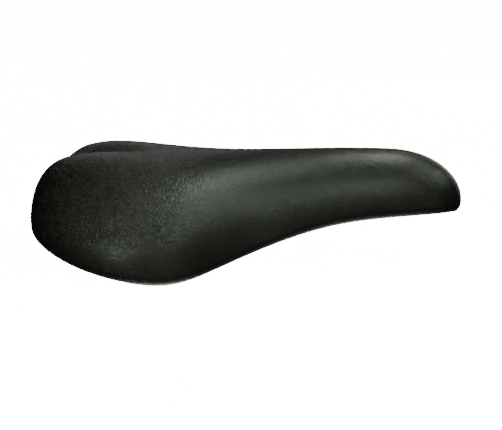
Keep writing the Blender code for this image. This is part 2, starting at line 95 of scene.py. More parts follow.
# The hollow between the two rear lobes, which grows shallower and narrower towards the nose.
HOLLOW_DEPTH = 0.014
HOLLOW_AT = 0.028                   # where it is deepest, from the rear end
HOLLOW_LENGTH = 0.045               # over which its depth fades
HOLLOW_HALF_WIDTH = 0.0235          # at the rear end
HOLLOW_TAPER = 0.15                 # half width lost per length forwards
HOLLOW_LEAST = 0.0065               # half width that it keeps
SPINE = (0.030, 0.223)              # where the profile lines meet the centre plane, from the rear end
FULLNESS = 2.1                      # superellipse exponent of the profile lines
TUCK = 0.0045                       # how far the rim lies inside the equator
LIFT = 0.0065                       # how far the equator lies above the rim

# Layers.
GAP = 0.0003                        # clearance between neighbours that touch
SKIN = 0.0012                       # vinyl cover
FOAM_REAR, FOAM_NOSE = 0.022, 0.013  # foam under the top, at the rear and at the nose
FOAM_SIDE = 0.0030                  # foam at the equator
WALL = 0.0025                       # moulded base
FLANGE = 0.0020                     # lip of the base that the foam stands on
LEDGE = 0.0030                      # depth of the inner ledge that takes the staples
LEDGE_REAR, LEDGE_NOSE = 0.0125, 0.0085
LEDGE_SLOPE = 0.3
BASE_HOLLOW = 0.6                   # share of the hollow that the base follows
NOSE_BEGINS, NOSE_BLEND = 0.080, 0.080  # where the layers start to thin, and over what length

# Ribs and bosses of the base.
RIB = 0.0020
RIB_DEPTH, RIB_SIDE_DEPTH = 0.0050, 0.0040
RIB_LONG_Y = 0.0140
RIB_CROSS_X = [REAR_X + x for x in (0.064, 0.092, 0.120, 0.148, 0.176)]
RIB_LONG_X = (REAR_X + 0.058, REAR_X + 0.190)
NOSE_BOSS_X = (0.0820, 0.1225)
REAR_BOSS_X = (-0.0905, -0.0660)
NOSE_BOSS_HALF_Y, REAR_BOSS_HALF_Y = 0.0300, 0.0140

# Rail.
RAIL_R = 0.0035
RAIL_CLAMP_Y, RAIL_CLAMP_HALF = 0.022, 0.038
RAIL_NOSE_Y, RAIL_NOSE_Z, RAIL_NOSE_X = 0.009, 0.0185, (0.088, 0.114)
RAIL_REAR_Y, RAIL_REAR_Z, RAIL_REAR_X = 0.035, 0.012, (-0.060, -0.088)
BEND_R = 0.022

# Fasteners.
SCREW_R = 0.0020
SCREW_PITCH = 0.0014
HEAD_R, HEAD_H = 0.0037, 0.0024
SCREW_TIP = 0.0022                  # length of the point
RECESS_LONG, RECESS_SHORT, RECESS_DEPTH = 0.0019, 0.00045, 0.0016
WASHER_R = 0.0043
SCREWS = ["nose_rear", "nose_front", "left_inner", "left_outer", "right_inner", "right_outer"]
CLAMPS = {"nose_clamp": SCREWS[:2], "rear_clamp_left": SCREWS[2:4], "rear_clamp_right": SCREWS[4:]}
STAPLE_SPACES = 17
STAPLE_LENGTH, STAPLE_WIDTH, STAPLE_THICKNESS = 0.0090, 0.0013, 0.0006
STAPLE_LEG = 0.0042
STAPLE_PROUD = 0.0004               # how far a crown stands out of the hem
STAPLE_TURN, STAPLE_SLIDE = 0.07, 0.0004  # how far a staple may be driven askew
RAIL_CHAMFER = 0.0006

# The gathered hem.
HEM_PUFF = 0.00045
HEM_FOLD = 0.00045
FOLD_PITCH = 0.0046
SHARP_BEND = 25.0                   # radians per metre of outline at which the folds are fullest

# The vinyl's grain.
GRAIN_DEPTH = 0.00040
GRAIN_LEAST = 0.25                  # its depth where the vinyl is stretched most, as a share
GRAIN_FADES_X = (REAR_X + 0.085, REAR_X + 0.120)
GRAIN_GROWS_Z = (-0.006, 0.010)

WELD = 2e-6                         # points closer than this are one


# ---- curves -------------------------------------------------------------------------------------

def smooth(knots, values, at):
    """Values at the given places on a natural cubic spline through the knots."""
    knots, values, at = (np.asarray(a, float) for a in (knots, values, at))
    span = np.diff(knots)
    rise = (np.diff(values, axis=0).T / span).T
    system = np.eye(len(knots))
    target = np.zeros_like(values)
    for i in range(1, len(span)):
        system[i, i - 1:i + 2] = span[i - 1], 2 * (span[i - 1] + span[i]), span[i]
        target[i] = 6 * (rise[i] - rise[i - 1])
    bend = np.linalg.solve(system, target)
    at = np.clip(at, knots[0], knots[-1])
    i = np.clip(np.searchsorted(knots, at, side="right") - 1, 0, len(span) - 1)
    column = (slice(None),) + (None,) * (values.ndim - 1)
    t, h = (at - knots[i])[column], span[i][column]
    slope = rise[i] - h * (2 * bend[i] + bend[i + 1]) / 6
    return values[i] + t * slope + t ** 2 * bend[i] / 2 + t ** 3 * (bend[i + 1] - bend[i]) / (6 * h)


def profile_of(table, x):
    """A table of (distance from the rear end, value), read at x."""
    knots, values = zip(*table)
    return smooth(knots, values, np.asarray(x) - REAR_X)


def hollow_depth(x, y):
    """Depth of the hollow between the rear lobes at points of the top."""
    ahead = np.asarray(x) - REAR_X
    depth = HOLLOW_DEPTH * np.exp(-((ahead - HOLLOW_AT) / HOLLOW_LENGTH) ** 2)
    half_width = np.maximum(HOLLOW_HALF_WIDTH - HOLLOW_TAPER * ahead, HOLLOW_LEAST)
    return depth * np.exp(-(y / half_width) ** 2)


def share_to_nose(x):
    """0 over the wings, rising smoothly to 1 where the nose begins."""
    t = np.clip((np.asarray(x) - REAR_X - NOSE_BEGINS) / NOSE_BLEND, 0, 1)
    return t * t * (3 - 2 * t)


def fine_outline(count=3000):
    """(x, y, rim z) closely spaced along half of the outline, from the rear end to the nose tip."""
    points = np.array([(REAR_X + x, y, TOP_Z - rim) for x, y, rim in OUTLINE])
    mirrored = points * [1, -1, 1]
    past = 3                        # mirrored points past each end, for a level crossing of the middle
    whole = np.vstack([mirrored[past:0:-1], points, mirrored[-2:-2 - past:-1]])
    chords = np.linalg.norm(np.diff(whole[:, :2], axis=0), axis=1)
    along = np.concatenate([[0], np.cumsum(np.sqrt(chords))])
    return smooth(along, whole, np.linspace(along[past], along[-1 - past], count))


class Form:
    """The lofted form, sampled at a number of stations round half of the outline."""

    def __init__(self, stations, levels, bend_weight=0.004):
        line = fine_outline()
        step = np.diff(line[:, :2], axis=0)
        heading = np.unwrap(np.arctan2(step[:, 1], step[:, 0]))
        turn = np.abs(np.diff(heading, prepend=heading[0]))
        length = np.linalg.norm(step, axis=1)
        run = np.concatenate([[0], np.cumsum(length + bend_weight * turn)])
        at = np.linspace(0, run[-1], stations)
        self.point = np.stack([np.interp(at, run, line[:, k]) for k in range(3)], 1)
        self.along = np.interp(at, run, np.concatenate([[0], np.cumsum(length)]))
        angle = np.interp(at, run, np.append(heading, heading[-1]))
        angle[0], angle[-1] = math.pi / 2, -math.pi / 2
        self.inward = np.stack([np.sin(angle), -np.cos(angle)], 1)
        self.point[[0, -1], 1] = 0.0
        self.inward[[0, -1], 1] = 0.0
        self.spine_x = REAR_X + SPINE[0] + (SPINE[1] - SPINE[0]) * (self.point[:, 0] - REAR_X) / LENGTH
        self.ledge_inset = LEDGE_REAR + (LEDGE_NOSE - LEDGE_REAR) * share_to_nose(self.point[:, 0])
        self.levels = levels
        turning = np.interp(at, run[1:], turn / np.maximum(length, 1e-9))
        self.bending = np.clip(turning / SHARP_BEND, 0, 1)

    def row(self, inset, above_rim):
        """The points that lie inset from the equator line in plan and this far above the rim."""
        inset = np.broadcast_to(inset, len(self.point))
        plan = self.point[:, :2] + self.inward * inset[:, None]
        return np.column_stack([plan, self.point[:, 2] + above_rim])

    def upper(self, inset, drop_rear, drop_nose, hollow_share, levels=None):
        """Rows from the spine to the equator of a layer."""
        equator = self.row(inset, LIFT)
        rows = []
        for angle in np.linspace(math.pi / 2, 0, levels or self.levels):
            out = max(math.cos(angle), 0.0) ** (2 / FULLNESS) if angle < math.pi / 2 else 0.0
            up = math.sin(angle) ** (2 / FULLNESS)
            x = self.spine_x + (equator[:, 0] - self.spine_x) * out
            y = equator[:, 1] * out
            drop = drop_rear + (drop_nose - drop_rear) * share_to_nose(x)
            top = TOP_Z + profile_of(CREST, x) - drop
            top -= hollow_depth(x, y) * hollow_share
            z = equator[:, 2] + (top - equator[:, 2]) * up
            rows.append(np.column_stack([x, y, z]))
        return rows

    def lower(self, inset, shares):
        """Rows of the quarter-round under a layer's equator, at these shares of the way down."""
        return [self.row(inset + (TUCK - inset) * (1 - math.sqrt(1 - share ** 2)),
                         LIFT - (LIFT - inset) * share) for share in shares]

    def share_down(self, inset, above_rim):
        """How far down a layer's quarter-round this height above the rim lies."""
        return (LIFT - above_rim) / (LIFT - inset)

    def flat_row(self, inset, z):
        """A row inset from the equator in plan, at one height."""
        line = self.row(inset, 0)
        line[:, 2] = z
        return line

    def centre_row(self, z):
        """A row on the centre plane, at a height z."""
        count = len(self.point)
        return np.column_stack([self.spine_x, np.zeros(count), np.broadcast_to(z, count)])

    def ledge(self, inset, above):
        """A row on the sloping underside of the rim, this far above the cover's lower face."""
        return self.row(inset, above + LEDGE_SLOPE * (inset - TUCK))


# ---- meshes -------------------------------------------------------------------------------------

def piece(name, bm, sharp_angle=180):
    """Turns a bmesh into a named object, shaded smooth but for edges over the sharp angle."""
    bmesh.ops.recalc_face_normals(bm, faces=bm.faces)
    if bm.calc_volume(signed=True) < 0:
        bmesh.ops.reverse_faces(bm, faces=bm.faces)
    mesh = bpy.data.meshes.new(name)
    bm.to_mesh(mesh)
    bm.free()
    mesh.shade_smooth()
    if sharp_angle < 180:
        mesh.set_sharp_from_angle(angle=math.radians(sharp_angle))
    obj = bpy.data.objects.new(name, mesh)
    bpy.context.scene.collection.objects.link(obj)
    return obj


def loft_both_sides(rows):
    """A closed bmesh through rows of points on the left and their mirror image on the right."""
    bm = bmesh.new()
    grid = np.array(rows)
    grid[[0, -1], :, 1] = 0.0
    grid[:, [0, -1], 1] = 0.0
    middle = np.zeros(grid.shape[:2], bool)
    middle[[0, -1]] = middle[:, [0, -1]] = True
    left = [[bm.verts.new(p) for p in line] for line in grid]
    right = [[left[i][j] if middle[i, j] else bm.verts.new(p * [1, -1, 1])
              for j, p in enumerate(line)] for i, line in enumerate(grid)]
    for side in (left, right):
        for lower, upper in zip(side, side[1:]):
            for a, b, c, d in zip(lower, lower[1:], upper[1:], upper):
                bm.faces.new((a, b, c, d) if side is left else (d, c, b, a))
    return bm


def box(low, high, round_edges=0.0):
    """A bmesh box between two corners, with its upright edges rounded if wanted."""
    bm = bmesh.new()
    bmesh.ops.create_cube(bm, size=1.0)
    for v in bm.verts:
        v.co = Vector([low[k] if v.co[k] < 0 else high[k] for k in range(3)])
    if round_edges:
        upright = [e for e in bm.edges if abs(e.verts[0].co.z - e.verts[1].co.z) > 1e-6]
        bmesh.ops.bevel(bm, geom=upright, offset=round_edges, segments=8, affect="EDGES", profile=0.5)
    return bm


def turned(profile, sides, reshape=None):
    """A closed bmesh turned about Z from (radius, height) points. reshape(radius, height, turn) may
    change the radius round the axis, where turn runs from 0 to 1."""
    bm = bmesh.new()
    rings = []
    for radius, height in profile:
        if radius == 0:
            rings.append([bm.verts.new((0, 0, height))])
            continue
        line = []
        for k in range(sides):
            r = reshape(radius, height, k / sides) if reshape else radius
            angle = 2 * math.pi * k / sides
            line.append(bm.verts.new((r * math.cos(angle), r * math.sin(angle), height)))
        rings.append(line)
    for a, b in zip(rings, rings[1:]):
        for k in range(sides):
            corners = [a[k % len(a)], a[(k + 1) % len(a)], b[(k + 1) % len(b)], b[k % len(b)]]
            bm.faces.new(list(dict.fromkeys(corners)))
    return bm


def ring(section, sides):
    """A bmesh ring about Z whose section is a loop of (radius, height) points."""
    bm = bmesh.new()
    loops = []
    for k in range(sides):
        angle = 2 * math.pi * k / sides
        loops.append([bm.verts.new((r * math.cos(angle), r * math.sin(angle), z)) for r, z in section])
    for here, there in zip(loops, loops[1:] + loops[:1]):
        for m in range(len(section)):
            n = (m + 1) % len(section)
            bm.faces.new((here[m], there[m], there[n], here[n]))
    return bm


def tube(path, radii, sides):
    """A bmesh bar along a path, with a radius at each point and flat ends."""
    bm = bmesh.new()
    side = Vector((0, 0, 1))
    rings = []
    for k, (point, radius) in enumerate(zip(path, radii)):
        ahead = (path[min(k + 1, len(path) - 1)] - path[max(k - 1, 0)]).normalized()
        side = (side - ahead * side.dot(ahead)).normalized()
        across = ahead.cross(side)
        turns = [2 * math.pi * (n + 0.5) / sides for n in range(sides)]
        rings.append([bm.verts.new(point + radius * (math.cos(a) * side + math.sin(a) * across))
                      for a in turns])
    for a, b in zip(rings, rings[1:]):
        for n in range(sides):
            m = (n + 1) % sides
            bm.faces.new((a[n], a[m], b[m], b[n]))
    bm.faces.new(rings[0])
    bm.faces.new(rings[-1])
    return bm


def rounded_path(corners, radii, steps):
    """The corners joined by straight lines, with an arc of the given radius at each inner corner."""
    path = [Vector(corners[0])]
    for before, corner, after, radius in zip(corners, corners[1:], corners[2:], radii):
        before, corner, after = Vector(before), Vector(corner), Vector(after)
        back, on = (before - corner).normalized(), (after - corner).normalized()
        half = back.angle(on) / 2
        centre = corner + (back + on).normalized() * (radius / math.sin(half))
        start = corner + back * (radius / math.tan(half)) - centre
        end = corner + on * (radius / math.tan(half)) - centre
        sweep = start.angle(end)
        for k in range(steps + 1):
            a = sweep * k / steps
            arm = (start * math.sin(sweep - a) + end * math.sin(a)) / math.sin(sweep)
            path.append(centre + arm)
    path.append(Vector(corners[-1]))
    return [p for k, p in enumerate(path) if k == 0 or (p - path[k - 1]).length > 1e-4]


def apply_modifiers(obj):
    """Makes an object's modifiers part of its mesh."""
    bpy.context.view_layer.update()
    graph = bpy.context.evaluated_depsgraph_get()
    result = bpy.data.meshes.new_from_object(obj.evaluated_get(graph))
    obj.modifiers.clear()
    obj.data = result


def cut(target, parts, operation="DIFFERENCE"):
    """Applies a Boolean to an object. The parts are bmeshes that lie clear of each other."""
    whole = bmesh.new()
    for part in parts:
        mesh = bpy.data.meshes.new("part")
        part.to_mesh(mesh)
        part.free()
        whole.from_mesh(mesh)
        bpy.data.meshes.remove(mesh)
    cutter = piece("cutter", whole)
    modifier = target.modifiers.new("cut", "BOOLEAN")
    modifier.operation = operation
    modifier.object = cutter
    modifier.solver = "EXACT"
    apply_modifiers(target)
    bpy.data.objects.remove(cutter)
    bm = bmesh.new()
    bm.from_mesh(target.data)
    bmesh.ops.remove_doubles(bm, verts=bm.verts, dist=WELD)
    bmesh.ops.triangulate(bm, faces=bm.faces)
    bm.to_mesh(target.data)
    bm.free()


def round_edges(obj, voxel, smoothing):
    """Gives a moulded piece its small fillets: an even remesh, then smoothing."""
    remesh = obj.modifiers.new("even", "REMESH")
    remesh.mode = "VOXEL"
    remesh.voxel_size = voxel
    soften = obj.modifiers.new("soft", "SMOOTH")
    soften.iterations = smoothing
    apply_modifiers(obj)
    obj.data.shade_smooth()


def finish_piece(obj, node, material):
    """Puts a piece in place of a CAD node, with its finish."""
    obj.data.materials.clear()
    obj.data.materials.append(material)
    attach(obj, "root")
    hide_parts(node)


# ---- materials ----------------------------------------------------------------------------------

class Nodes:
    """A material under construction: makes nodes and links them."""

    def __init__(self, name):
        self.material = bpy.data.materials.new(name)
        self.material.use_nodes = True
        self.tree = self.material.node_tree
        self.shader = self.tree.nodes["Principled BSDF"]
        self.coordinates = self.tree.nodes.new("ShaderNodeTexCoord").outputs["Object"]

    def link(self, source, target):
        if isinstance(source, (int, float)):
            target.default_value = source
        elif isinstance(source, tuple):
            target.default_value = source if len(source) == len(target.default_value) else (*source, 1.0)
        else:
            self.tree.links.new(source, target)

    def noise(self, scale, detail=2.0, roughness=0.5, distortion=0.0, at=None, stretch=None):
        node = self.tree.nodes.new("ShaderNodeTexNoise")
        node.inputs["Scale"].default_value = scale
        node.inputs["Detail"].default_value = detail
        node.inputs["Roughness"].default_value = roughness
        node.inputs["Distortion"].default_value = distortion
        self.link(self.stretched(at or self.coordinates, stretch), node.inputs["Vector"])
        return node.outputs["Fac"]

    def voronoi(self, scale, feature="F1", at=None):
        node = self.tree.nodes.new("ShaderNodeTexVoronoi")
        node.feature = feature
        node.inputs["Scale"].default_value = scale
        self.link(at or self.coordinates, node.inputs["Vector"])
        return node.outputs["Distance"]

    def stretched(self, vector, factors):
        if factors is None:
            return vector
        node = self.tree.nodes.new("ShaderNodeMapping")
        node.inputs["Scale"].default_value = factors
        self.link(vector, node.inputs["Vector"])
        return node.outputs["Vector"]

    def shifted(self, amount, scale):
        """Coordinates pushed about by noise, so that cells lose their straight edges."""
        noise = self.tree.nodes.new("ShaderNodeTexNoise")
        noise.inputs["Scale"].default_value = scale
        self.link(self.coordinates, noise.inputs["Vector"])
        centred = self.tree.nodes.new("ShaderNodeVectorMath")
        centred.operation = "SUBTRACT"
        self.link(noise.outputs["Color"], centred.inputs[0])
        centred.inputs[1].default_value = (0.5, 0.5, 0.5)
        scaled = self.tree.nodes.new("ShaderNodeVectorMath")
        scaled.operation = "MULTIPLY_ADD"
        self.link(centred.outputs["Vector"], scaled.inputs[0])
        scaled.inputs[1].default_value = (amount, amount, amount)
        self.link(self.coordinates, scaled.inputs[2])
        return scaled.outputs["Vector"]

    def math(self, operation, a, b=0.0, clamp=False):
        node = self.tree.nodes.new("ShaderNodeMath")
        node.operation = operation
        node.use_clamp = clamp
        self.link(a, node.inputs[0])
        self.link(b, node.inputs[1])
        return node.outputs["Value"]

    def remap(self, value, low, high, new_low=0.0, new_high=1.0, smoothly=False):
        node = self.tree.nodes.new("ShaderNodeMapRange")
        node.interpolation_type = "SMOOTHSTEP" if smoothly else "LINEAR"
        self.link(value, node.inputs["Value"])
        ends = {"From Min": low, "From Max": high, "To Min": new_low, "To Max": new_high}
        for socket, number in ends.items():
            node.inputs[socket].default_value = number
        return node.outputs["Result"]

    def mix(self, factor, a, b):
        """A colour between a and b."""
        node = self.tree.nodes.new("ShaderNodeMix")
        node.data_type = "RGBA"
        self.link(factor, node.inputs["Factor"])
        self.link(a, node.inputs["A"])
        self.link(b, node.inputs["B"])
        return node.outputs["Result"]

    def mixed_value(self, factor, a, b):
        """A number between a and b."""
        node = self.tree.nodes.new("ShaderNodeMix")
        for source, socket in ((factor, "Factor"), (a, "A"), (b, "B")):
            self.link(source, node.inputs[socket])
        return node.outputs["Result"]

    def separate(self, vector, axis):
        node = self.tree.nodes.new("ShaderNodeSeparateXYZ")
        self.link(vector, node.inputs["Vector"])
        return node.outputs[axis]

    def bump(self, height, distance, strength=1.0, over=None):
        node = self.tree.nodes.new("ShaderNodeBump")
        node.inputs["Strength"].default_value = strength
        node.inputs["Distance"].default_value = distance
        self.link(height, node.inputs["Height"])
        if over is not None:
            self.link(over, node.inputs["Normal"])
        return node.outputs["Normal"]

    def set(self, **sockets):
        """Feeds the shader's sockets: base_color=..., roughness=... and so on."""
        for name, source in sockets.items():
            self.link(source, self.shader.inputs[name.replace("_", " ").title().replace("Ior", "IOR")])
        return self.material


def vinyl():
    """Black moulded vinyl with a pebbled leather grain: full on the wings, and stretched flatter down
    the skirt and along the nose."""
    n = Nodes("vinyl")
    wandering = n.shifted(0.0014, 360)
    pebbles = n.voronoi(720, "SMOOTH_F1", at=wandering)
    creases = n.voronoi(720, "DISTANCE_TO_EDGE", at=wandering)
    dome = n.remap(pebbles, 0.05, 0.75, 1.0, 0.0)
    valley = n.remap(creases, 0.0, 0.18, 0.0, 1.0, smoothly=True)
    grain = n.math("ADD", n.math("MULTIPLY", dome, valley), n.math("MULTIPLY", n.noise(760, 2), 0.8))
    grain = n.math("ADD", grain, n.math("MULTIPLY", n.noise(2600, 3), 0.20))
    to_nose = n.remap(n.separate(n.coordinates, "X"), *GRAIN_FADES_X, 1.0, GRAIN_LEAST, smoothly=True)
    up_skirt = n.remap(n.separate(n.coordinates, "Z"), *GRAIN_GROWS_Z, GRAIN_LEAST, 1.0, smoothly=True)
    depth = n.math("MULTIPLY", to_nose, up_skirt)
    grain = n.math("MULTIPLY", grain, depth)
    normal = n.bump(n.noise(30, 2), 0.0010, 0.3)
    normal = n.bump(grain, GRAIN_DEPTH, 1.0, over=normal)
    patches = n.noise(38, 3, 0.55)
    colour = n.mix(patches, (0.0085, 0.0105, 0.0075), (0.0125, 0.0150, 0.0110))
    # The creases between the pebbles are painted darker: painted shade in the grain's valleys.
    colour = n.mix(valley, (0.0050, 0.0060, 0.0045), colour)
    roughness = n.math("ADD", n.remap(patches, 0.3, 0.7, 0.34, 0.40), n.remap(valley, 0, 1, 0.10, 0.0))
    return n.set(base_color=colour, roughness=roughness, normal=normal, specular_tint=(0.86, 1.0, 0.80))


def foam_material():
    """Cream moulded polyurethane foam: a dull skin with fine open pores."""
    n = Nodes("foam")
    cells = n.voronoi(1500, "F1", at=n.shifted(0.0006, 900))
    pores = n.remap(cells, 0.1, 0.5, 0.0, 1.0, smoothly=True)
    stains = n.noise(30, 3, 0.6)
    colour = n.mix(stains, (0.62, 0.53, 0.34), (0.74, 0.67, 0.48))
    # The pores are painted darker: painted shade inside the open cells.
    colour = n.mix(pores, (0.40, 0.33, 0.20), colour)
    normal = n.bump(n.noise(60, 2), 0.0008, 0.3)
    normal = n.bump(pores, 0.00020, 0.8, over=normal)
    return n.set(base_color=colour, roughness=0.95, normal=normal)


def moulded_plastic(name, dark, light, roughness, texture):
    """Injection-moulded plastic: spark-eroded texture, faint flow marks and a little dust."""
    n = Nodes(name)
    flow = n.noise(18, 3, 0.6, distortion=0.6, stretch=(0.35, 1.0, 1.0))
    erosion = n.noise(texture, 4, 0.65)
    dust = n.remap(n.noise(95, 5, 0.7), 0.55, 0.80, 0.0, 0.35, smoothly=True)
    colour = n.mix(n.remap(flow, 0.3, 0.7), dark, light)
    colour = n.mix(dust, colour, tuple(0.05 + 1.2 * c for c in light))
    shine = n.math("ADD", n.remap(flow, 0.3, 0.7, roughness - 0.06, roughness + 0.06),
                   n.math("MULTIPLY", dust, 0.5), clamp=True)
    normal = n.bump(n.noise(45, 2), 0.0004, 0.3)
    normal = n.bump(erosion, 0.00006, 0.8, over=normal)
    return n.set(base_color=colour, roughness=shine, normal=normal)


def rail_coating():
    """Black powder coat: orange peel, fine scuffs, and bare steel showing where a clamp has rubbed."""
    n = Nodes("rail_coating")
    peel = n.voronoi(900, "SMOOTH_F1", at=n.shifted(0.0008, 500))
    along = n.separate(n.coordinates, "X")
    inside = n.remap(n.math("ABSOLUTE", along), 0.016, 0.030, 1.0, 0.0, smoothly=True)
    scratches = n.noise(420, 4, 0.7, stretch=(0.10, 1.0, 1.0))
    rubbed = n.remap(scratches, 0.60, 0.68, 0.0, 1.0, smoothly=True)
    bare = n.math("MULTIPLY", rubbed, inside)
    mottled = n.noise(70, 3)
    coat = n.mix(mottled, (0.011, 0.011, 0.012), (0.017, 0.017, 0.018))
    colour = n.mix(bare, coat, (0.42, 0.41, 0.39))
    roughness = n.mixed_value(bare, n.remap(mottled, 0.3, 0.7, 0.30, 0.42), 0.34)
    normal = n.bump(peel, 0.00008, 0.5)
    normal = n.bump(bare, 0.00004, 0.6, over=normal)
    return n.set(base_color=colour, roughness=roughness, metallic=bare, normal=normal)


def zinc():
    """Zinc-plated steel: bluish, with crystalline mottling, fine marks and a yellowish bloom."""
    n = Nodes("zinc")
    crystals = n.voronoi(1400, "F1")
    bloom = n.noise(240, 3, 0.6)
    marks = n.noise(2400, 3, 0.7, stretch=(1.0, 0.12, 1.0))
    colour = n.mix(n.remap(bloom, 0.35, 0.7, smoothly=True), (0.60, 0.62, 0.65), (0.58, 0.53, 0.40))
    colour = n.mix(n.remap(crystals, 0.0, 0.8, 0.0, 0.35), colour, (0.36, 0.37, 0.39))
    dulled = n.remap(bloom, 0.3, 0.7, 0.24, 0.40)
    roughness = n.math("ADD", dulled, n.remap(marks, 0.3, 0.7, -0.05, 0.08))
    normal = n.bump(marks, 0.00003, 0.6)
    return n.set(base_color=colour, roughness=roughness, metallic=1.0, normal=normal)


# ---- pieces -------------------------------------------------------------------------------------

def hem_folds(form):
    """How far the gathered hem stands down from the base round the outline: it is pulled tight at
    each staple, and in the bends it lies in narrow folds."""
    pitch = form.along[-1] / STAPLE_SPACES
    between = np.sin(math.pi * form.along / pitch) ** 2
    uneven = 0.7 + 0.3 * np.sin(form.along * 171 + 1.3) * np.sin(form.along * 67)
    folds = np.sin(math.pi * form.along / FOLD_PITCH + 1.2 * np.sin(form.along * 83)) ** 2
    return HEM_PUFF * between * uneven + HEM_FOLD * folds * form.bending * (0.35 + 0.65 * between)


def make_cover(material):
    """The vinyl cover: over the foam, round the rim, and under it as a hem."""
    form = Form(420, 52)
    folds = hem_folds(form)
    ragged = 0.0007 * np.sin(form.along * 130) + 0.0005 * np.sin(form.along * 310 + 0.8)
    hem_edge = form.ledge_inset - 0.0010 + ragged
    round_under = np.sin(np.linspace(0, math.pi / 2, 12))[1:]
    rows = form.upper(0, 0, 0, 1) + form.lower(0, round_under)
    for share in np.linspace(0, 1, 12)[1:]:
        rows.append(form.ledge(TUCK + (hem_edge - TUCK) * share, -folds * math.sin(share * math.pi / 2)))
    rows.append(form.ledge(hem_edge, SKIN - folds))
    rows.append(form.ledge(TUCK + (hem_edge - TUCK) * 0.5, SKIN - folds * 0.6))
    rows += form.lower(SKIN, (0.35, 0.7, 0.9, 1.0))[::-1] + form.upper(SKIN, SKIN, SKIN, 1, 16)[::-1]
    cover = piece("cover_skin", loft_both_sides(rows), 60)
    finish_piece(cover, "cover", material)


def make_foam(material):
    """The foam pad, which stands on the base's flange."""
    form = Form(150, 26)
    outer, inner = SKIN + GAP, SKIN + GAP + FOAM_SIDE
    foot = SKIN + 2 * GAP + FLANGE
    down = form.share_down(outer, foot)
    rows = form.upper(outer, outer, outer, 1) + form.lower(outer, [down * k / 5 for k in range(1, 6)])
    rows.append(form.row(inner, foot))
    rows += form.upper(inner, FOAM_REAR - GAP, FOAM_NOSE - GAP, BASE_HOLLOW)[::-1]
    foam = piece("foam_core", loft_both_sides(rows), 50)
    finish_piece(foam, "foam_pad", material)


def base_cavity(form):
    """The hollow of the base, less its ribs and bosses, reaching below the rim."""
    wall = SKIN + GAP + FOAM_SIDE + GAP + WALL
    below = cad_box[0].z - 0.026
    above = cad_box[1].z + 0.014
    aside = cad_box[1].y + 0.012
    ledge_top = SKIN + GAP + LEDGE
    rows = form.upper(wall, FOAM_REAR + WALL, FOAM_NOSE + WALL, BASE_HOLLOW)
    rows += [form.ledge(wall, ledge_top), form.ledge(form.ledge_inset, ledge_top)]
    rows += [form.flat_row(form.ledge_inset, below), form.centre_row(below)]
    cavity = piece("cavity", loft_both_sides(rows))
    inner = wall + RIB_SIDE_DEPTH
    drop = WALL + RIB_DEPTH
    rows = form.upper(inner, FOAM_REAR + drop, FOAM_NOSE + drop, BASE_HOLLOW)
    rows += [form.flat_row(np.maximum(inner, form.ledge_inset + 0.0005), below + 0.001),
             form.centre_row(below + 0.001)]
    between_ribs = loft_both_sides(rows)
    low = cad_box[0].z - 0.020
    cut(cavity, [box((x - RIB / 2, -aside, low), (x + RIB / 2, aside, above)) for x in RIB_CROSS_X])
    cut(cavity, [box((RIB_LONG_X[0], y - RIB / 2, low), (RIB_LONG_X[1], y + RIB / 2, above))
                 for y in (-RIB_LONG_Y, RIB_LONG_Y)])
    cut(cavity, [between_ribs], "UNION")
    bosses = [box((NOSE_BOSS_X[0], -NOSE_BOSS_HALF_Y, RAIL_NOSE_Z + GAP / 2),
                  (NOSE_BOSS_X[1], NOSE_BOSS_HALF_Y, above))]
    for centre in (-RAIL_REAR_Y, RAIL_REAR_Y):
        bosses.append(box((REAR_BOSS_X[0], centre - REAR_BOSS_HALF_Y, RAIL_REAR_Z + GAP / 2),
                          (REAR_BOSS_X[1], centre + REAR_BOSS_HALF_Y, above)))
    cut(cavity, bosses)
    return cavity


def rail_path(steps):
    """The rail's axis, from its left rear end round the nose loop to its right rear end."""
    left = [
        (RAIL_REAR_X[1], RAIL_REAR_Y, RAIL_REAR_Z),
        (RAIL_REAR_X[0], RAIL_REAR_Y, RAIL_REAR_Z),
        (-RAIL_CLAMP_HALF, RAIL_CLAMP_Y, 0),
        (RAIL_CLAMP_HALF, RAIL_CLAMP_Y, 0),
        (RAIL_NOSE_X[0], RAIL_NOSE_Y, RAIL_NOSE_Z),
        (RAIL_NOSE_X[1], RAIL_NOSE_Y, RAIL_NOSE_Z),
    ]
    corners = left + [(x, -y, z) for x, y, z in left[::-1]]
    loop_r = RAIL_NOSE_Y * 0.9999   # the two quarter turns of the loop meet at its front
    radii = [BEND_R] * 4 + [loop_r] * 2 + [BEND_R] * 4
    return rounded_path(corners, radii, steps)


def rail_groove():
    """The rail with clearance round it and past its ends."""
    path = rail_path(8)
    path[0] = path[0] - Vector((GAP, 0, 0))
    path[-1] = path[-1] - Vector((GAP, 0, 0))
    return tube(path, [RAIL_R + GAP] * len(path), 32)


def screw_hole(name, low, high):
    """An upright hole round a screw's shank."""
    corner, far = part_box(f"screw_{name}")
    bm = turned([(0, low), (SCREW_R + GAP, low), (SCREW_R + GAP, high), (0, high)], 24)
    bmesh.ops.translate(bm, verts=bm.verts, vec=((corner.x + far.x) / 2, (corner.y + far.y) / 2, 0))
    return bm


